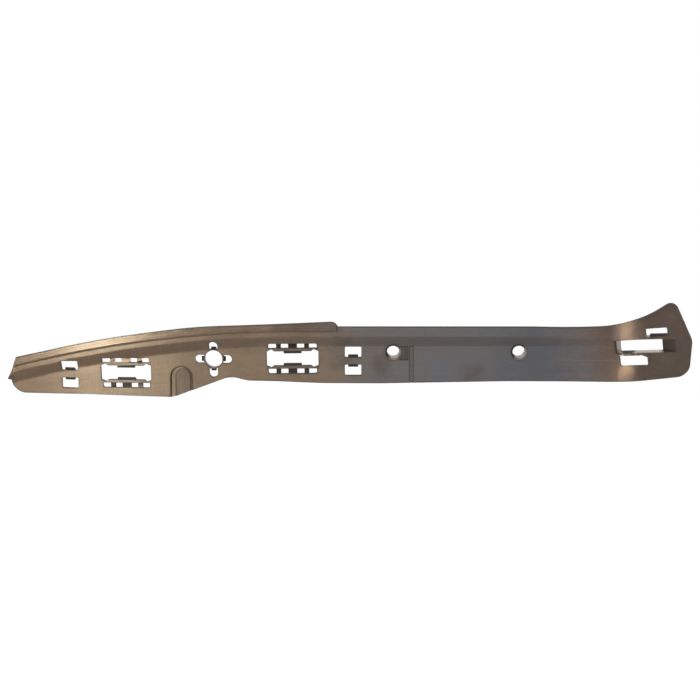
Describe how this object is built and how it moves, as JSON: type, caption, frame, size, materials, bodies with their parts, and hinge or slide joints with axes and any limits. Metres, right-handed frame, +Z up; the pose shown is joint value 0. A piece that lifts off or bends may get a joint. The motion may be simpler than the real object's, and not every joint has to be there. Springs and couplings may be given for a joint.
{
  "type": "bumper mounting bracket",
  "caption": "Long moulded strip with a folded step and a flared end wing, with clip windows, a locating hole and bolt holes, that holds the edge of a bumper cover to the body side.",
  "frame": {"origin": "midway between the two fixing holes, on the plane where their collars bear on the car body", "axes": "+X along the strip towards the flared wing, +Y back towards the car body, +Z up; the face that is seen in use looks along -Y"},
  "size_m": [0.6, 0.0557, 0.089],
  "materials": {
    "moulded_plastic": "satin-gloss brown-grey moulding with faint flow streaks along its length"
  },
  "bodies": {
    "root": {"bracket": "moulded_plastic"}
  },
  "joints": []
}
